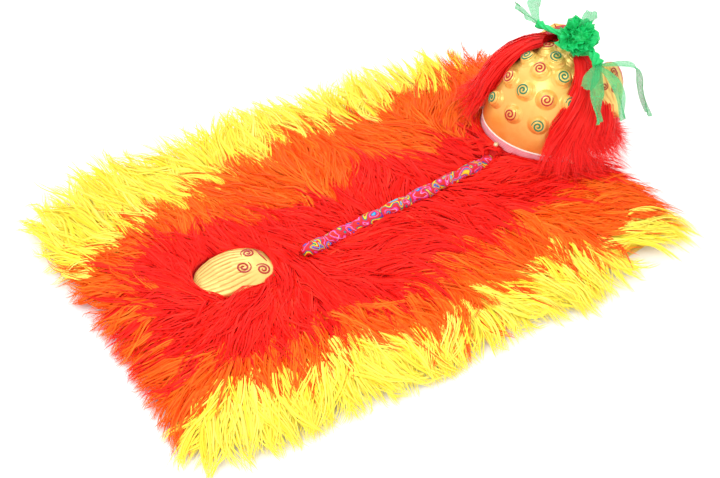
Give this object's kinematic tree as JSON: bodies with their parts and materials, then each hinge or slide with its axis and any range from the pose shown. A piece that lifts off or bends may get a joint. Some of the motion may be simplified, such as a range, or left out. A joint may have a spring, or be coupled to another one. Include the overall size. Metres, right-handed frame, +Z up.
{
  "type": "lion dance head with fur cape",
  "caption": "Gold skull cap with snail curls, leaf ears, red hair and green tulle, lying on its striped long-fur cape with a padded spine and a tail plate.",
  "frame": {"origin": "on the floor, in the middle of the cape's underside", "axes": "+X along the cape from its tail end to the head, +Y to the cape's left when it is worn, +Z up from the floor"},
  "size_m": [1.1728, 0.811, 0.3299],
  "materials": {
    "backing_cloth": "woven cotton, dyed yellow",
    "red_fur": "long-pile synthetic fur, red",
    "orange_fur": "long-pile synthetic fur, orange",
    "yellow_fur": "long-pile synthetic fur, yellow",
    "brocade": "woven brocade with bright swirls",
    "gold_paint": "satin gold paint on a moulded shell",
    "pale_gold_paint": "satin pale gold paint with red lines",
    "curl_red": "red and gold paint",
    "curl_green": "green and gold paint",
    "piping": "white piping cord",
    "elastic_band": "sheer pink elastic",
    "bead": "gold bead",
    "hair": "long synthetic hair, red",
    "tulle": "stiff green tulle"
  },
  "bodies": {
    "root": {"cape_backing": "backing_cloth", "fur_red": "red_fur", "fur_orange_near": "orange_fur", "fur_orange_far": "orange_fur", "fur_yellow_near": "yellow_fur", "fur_yellow_far": "yellow_fur", "spine": "brocade", "tail_plate": "pale_gold_paint", "skull_shell": "gold_paint", "rim_cord": "piping", "rim_band": "elastic_band", "ear_left": "pale_gold_paint", "ear_right": "pale_gold_paint", "hair_left": "hair", "hair_right": "hair", "pompon": "tulle", "tulle_tie_left": "tulle", "tulle_tie_right": "tulle", "rim_bead_1": "bead", "rim_bead_2": "bead", "rim_bead_3": "bead", "rim_bead_4": "bead", "curl_01": "curl_red", "curl_02": "curl_green", "curl_03": "curl_red", "curl_04": "curl_green", "curl_05": "curl_red", "curl_06": "curl_green", "curl_07": "curl_red", "curl_08": "curl_green", "curl_09": "curl_red", "curl_10": "curl_green", "curl_11": "curl_red", "curl_12": "curl_green", "curl_13": "curl_green", "curl_14": "curl_red", "curl_15": "curl_green", "curl_16": "curl_red", "curl_17": "curl_green", "curl_18": "curl_red", "curl_19": "curl_green", "curl_20": "curl_red", "curl_21": "curl_green", "curl_22": "curl_red", "curl_23": "curl_green", "curl_24": "curl_red", "curl_25": "curl_red", "curl_26": "curl_green", "curl_27": "curl_red", "curl_28": "curl_green", "curl_29": "curl_red", "curl_30": "curl_green", "curl_31": "curl_red", "curl_32": "curl_green", "curl_33": "curl_green", "curl_34": "curl_red", "curl_35": "curl_green", "curl_36": "curl_red"}
  },
  "joints": []
}
